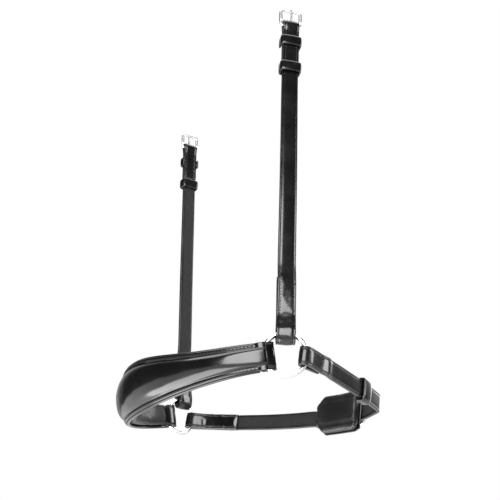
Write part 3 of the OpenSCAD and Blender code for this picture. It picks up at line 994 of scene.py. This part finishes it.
def far_chin():
    """The long strap: doubled and sewn at the far ring, and folded round the buckle's heel bar."""
    a1 = radians(FAR_A1)
    ring_xy = np.array([-BACK[0], BACK[1]])
    away, side = np.array([sin(a1), -cos(a1)]), np.array([cos(a1), sin(a1)])
    inner, outer = chin_fold(ring_xy, away, side)
    total = radians(FAR_A1 - FAR_A0) * FAR_R
    doubled = 44.0
    join_in = [far_point(total - x, -LAYER) for x in (doubled, doubled - 10, doubled - 20)]
    join_out = [far_point(total - x, LAYER) for x in (doubled - 20, doubled - 10, doubled - 4)]
    single = [far_point(total - doubled - 4, 0.3)]
    single += [far_point(x, 0) for x in np.linspace(total - doubled - 12, HEEL_S + 38, 6)]
    r = FRAME_R + LAYER + 0.1
    over = [(20, LAYER), (7, LAYER), (3, r * 0.8), (-0.2, r), (-r * 0.72, r * 0.72)]
    under = [(x, -d) for x, d in reversed(over)]
    fold = [far_point(HEEL_S + x, d) for x, d in [(30, LAYER)] + over + [(-r, 0)] + under + [(31, -LAYER)]]
    line = spline(join_in + inner[1:] + outer[:-1] + join_out + single + fold, STEP)
    p = np.array([chin_world(q) for q in line])
    from_ring = np.linalg.norm(p - chin_world(ring_xy), axis=1)
    waves = 0.03 + 0.5 * smoothstep((doubled + 4 - from_ring) / 6) * smoothstep((from_ring - 8) / 6)
    obj = ribbon("far_chin_leather", p, CHIN_UP, STRAP_MATS, skive=(3, 4), wrinkle=waves)
    o = far_out(HEEL_S)
    cut(obj, chin_world(far_point(HEEL_S - 1.5, 0)), (CHIN_UP, np.cross(CHIN_UP, o), o), (3.4, 7, 12))
    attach(obj, "chin_strap")
    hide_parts("far_chin_strap")
    rows = []
    for sign in (-1, 1):
        for v in (-1, 1):
            xs = np.linspace(total - 9, total - doubled + 2, 24)
            face = sign * (LAYER + LEATHER / 2)
            pts = [chin_world(far_point(x, face), v * (STRAP_W / 2 - SEAM_INSET)) for x in xs]
            nrm = [chin_world(far_point(x, 1) - far_point(x, 0)) * sign for x in xs]
            rows.append(stitches("row", pts, nrm, THREAD))
    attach(join(rows, "far_chin_stitches"), "chin_strap")


def chin_fittings():
    """Buckle, sewn keeper and sliding runner."""
    o = far_out(HEEL_S)
    buckle("chin_buckle", ("chin_strap", "chin_tongue"), ("chin_buckle", "chin_tongue"),
           chin_world(far_point(HEEL_S, 0)), CHIN_UP, o, -np.cross(CHIN_UP, o), asin(BAR_LIFT / FRAME_L))
    x = HEEL_S + 16
    o = far_out(x)
    obj = keeper_loop("chin_keeper_leather", chin_world(far_point(x, 0)), CHIN_UP, o, np.cross(CHIN_UP, o),
                      STRAP_W / 2 + 0.4, OVER + 1.4 + 0.4, LEATHER - 0.6, 8.4, closed=False)
    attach(obj, "chin_strap")
    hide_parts("chin_keeper")
    a = NEAR_A1 - 3.9
    o = unit(chin_world(polar((0, 0), 1, a)))
    obj = keeper_loop("chin_runner_leather", chin_world(polar(NEAR_FLAT, NEAR_R, a)), CHIN_UP, o,
                      np.cross(CHIN_UP, o), STRAP_W / 2 + 0.6, LEATHER / 2 + 0.7, LEATHER / 2 + 0.5, 10.4)
    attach(obj, "chin_runner")
    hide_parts("chin_runner")


PAD_S0, PAD_S1 = -4.0, 42.0
PAD_FACE = -FOLD_R - 0.15


def chin_pad_half(x):
    """Half height of the chin pad at a distance along the far strap."""
    k = (x - PAD_S0) / (PAD_S1 - PAD_S0)
    return 16 - 7.6 * smoothstep((k - 0.78) / 0.22) - 1.6 * smoothstep((0.12 - k) / 0.12)


def pad_layer(name, d0, d1, grow, mat):
    """One layer of the pad, from d0 to d1 outwards from the far arc. The soft layer has a
    groove inside each of its long edges."""
    steps, ring = 60, 40
    rows = []
    for i in range(steps + 1):
        x = PAD_S0 - grow + (PAD_S1 - PAD_S0 + 2 * grow) * (i / steps)
        end = rounded_end(min(i, steps - i) / 4 + 0.2)
        half = chin_pad_half(x) + grow
        row = []
        for j in range(ring):
            a = 2 * pi * j / ring
            u = round_power(cos(a), 0.5) * (d1 - d0) / 2 * end + (d0 + d1) / 2
            v = round_power(sin(a), 0.6) * half
            if mat is SOFT and cos(a) < 0:
                u += 1.5 * max(0, 1 - abs(abs(v) - (half - 5.0)) / 1.5)
            row.append(chin_world(far_point(x, u), v))
        rows.append(row)
    return new_object(name, np.array(rows).reshape(-1, 3), skin(steps + 1, ring), [mat])


def chin_pad():
    """A thin leather backing, and the padded front: a flat panel between two rolled edges."""
    back = pad_layer("chin_pad_back_leather", PAD_FACE - 1.4, PAD_FACE, 0.0, GLOSS)
    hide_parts("chin_pad_backing")
    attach(back, "chin_strap")
    front = pad_layer("chin_pad_soft_front", PAD_FACE - 7.6, PAD_FACE - 1.0, -0.8, SOFT)
    inflate(front, 1.2, 0.8)
    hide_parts("chin_pad_filling", "chin_pad_lining")
    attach(front, "chin_strap")


# ---------- rings ----------


def rings():
    """The CAD's own rings, polished."""
    for s in (1, -1):
        obj = frame["nodes"][f"{side_name(s)}_ring"]
        for place in obj.material_slots:
            place.material = CHROME
        obj.data.polygons.foreach_set("use_smooth", [True] * len(obj.data.polygons))


# ---------- stage, light and camera ----------


def area_light(name, at, aim, size, power):
    data = bpy.data.lights.new(name, "AREA")
    data.shape = "RECTANGLE"
    data.size, data.size_y = size
    data.energy = power
    obj = bpy.data.objects.new(name, data)
    obj.location = at
    obj.rotation_euler = (Vector(aim) - Vector(at)).to_track_quat("-Z", "Y").to_euler()
    obj.visible_camera = False
    bpy.context.scene.collection.objects.link(obj)


def overhead_light(strength):
    """Soft light from straight above, the same all over the floor."""
    data = bpy.data.lights.new("overhead", "SUN")
    data.energy = strength
    data.angle = radians(70)
    bpy.context.scene.collection.objects.link(bpy.data.objects.new("overhead", data))


# direction of the bright wall that the leather reflects, and the light of the room and of that wall
BACKDROP = (-0.69, 0.58, 0.43)
ROOM, GLOW = 0.02, 0.8
FLOOR_Z = -1.1


def white_surround():
    """White where the camera looks past the piece; a dim room with one bright wall in reflections."""
    world = bpy.data.worlds.new("studio")
    bpy.context.scene.world = world
    world.use_nodes = True
    tree = world.node_tree
    back = tree.nodes["Background"]
    back.inputs["Color"].default_value = (1, 1, 1, 1)
    way = node(tree, "ShaderNodeTexCoord").outputs["Generated"]
    facing = node(tree, "ShaderNodeVectorMath", {0: way, 1: BACKDROP},
                  operation="DOT_PRODUCT").outputs["Value"]
    seen = node(tree, "ShaderNodeLightPath").outputs["Is Camera Ray"]
    glow = ramp(tree, facing, 0.55, 0.95, ROOM, GLOW)
    tree.links.new(node(tree, "ShaderNodeMath", {0: glow, 1: seen}, operation="MAXIMUM").outputs["Value"],
                   back.inputs["Strength"])
    bpy.context.scene.view_settings.view_transform = "Standard"


def studio():
    """A pale floor, soft light from above and four softboxes that the camera doesn't see."""
    mat, tree, shader, coord = new_material("pale_floor")
    tone = grain_noise(tree, coord, 3, 3)
    tree.links.new(mixed(tree, tone, (0.78, 0.78, 0.77), (0.84, 0.84, 0.83)), shader.inputs["Base Color"])
    shader.inputs["Roughness"].default_value = 0.8
    bpy.ops.mesh.primitive_grid_add(x_subdivisions=8, y_subdivisions=8, size=60, location=(0, 0, FLOOR_Z))
    floor = bpy.context.object
    floor.name = "studio_floor"
    floor.data.materials.append(mat)
    middle = (0.05, -0.02, 0.03)
    overhead_light(2.7)
    area_light("key", (1.1, -0.61, 0.34), middle, (1.0, 0.75), 18)
    area_light("low_glow", (-0.05, -0.55, -0.88), middle, (1.6, 1.0), 23)
    area_light("side_strip", (0.57, 1.08, 0.44), middle, (0.3, 0.9), 6)
    area_light("rim", (-0.6, 1.13, 0.45), middle, (0.6, 0.8), 4)


def camera():
    """Looks at the piece from below and to its near side, slightly turned."""
    azimuth, elevation, roll = radians(67.2), radians(-24.16), radians(1.58)
    distance, aim_right, aim_up = 0.6147, 0.0190, 0.1075
    back = Vector((sin(azimuth) * cos(elevation), -cos(azimuth) * cos(elevation), sin(elevation)))
    right = (-back).cross(Vector((0, 0, 1))).normalized()
    up = right.cross(-back)
    right, up = cos(roll) * right + sin(roll) * up, cos(roll) * up - sin(roll) * right
    data = bpy.data.cameras.new("camera")
    data.sensor_width = 36
    data.lens = 57.6
    obj = bpy.data.objects.new("camera", data)
    m = Matrix((right, up, back)).transposed().to_4x4()
    m.translation = back * distance + right * aim_right + up * aim_up
    obj.matrix_world = m
    bpy.context.scene.collection.objects.link(obj)
    bpy.context.scene.camera = obj


camera()
white_surround()
studio()
rings()
for side in (1, -1):
    cheek_strap(side)
    cheek_keepers(side)
    cheek_buckle(side)
nosepiece_cover()
nosepiece_seams()
nosepiece_piping()
nosepiece_pad()
nosepiece_strap()
near_chin()
far_chin()
chin_fittings()
chin_pad()
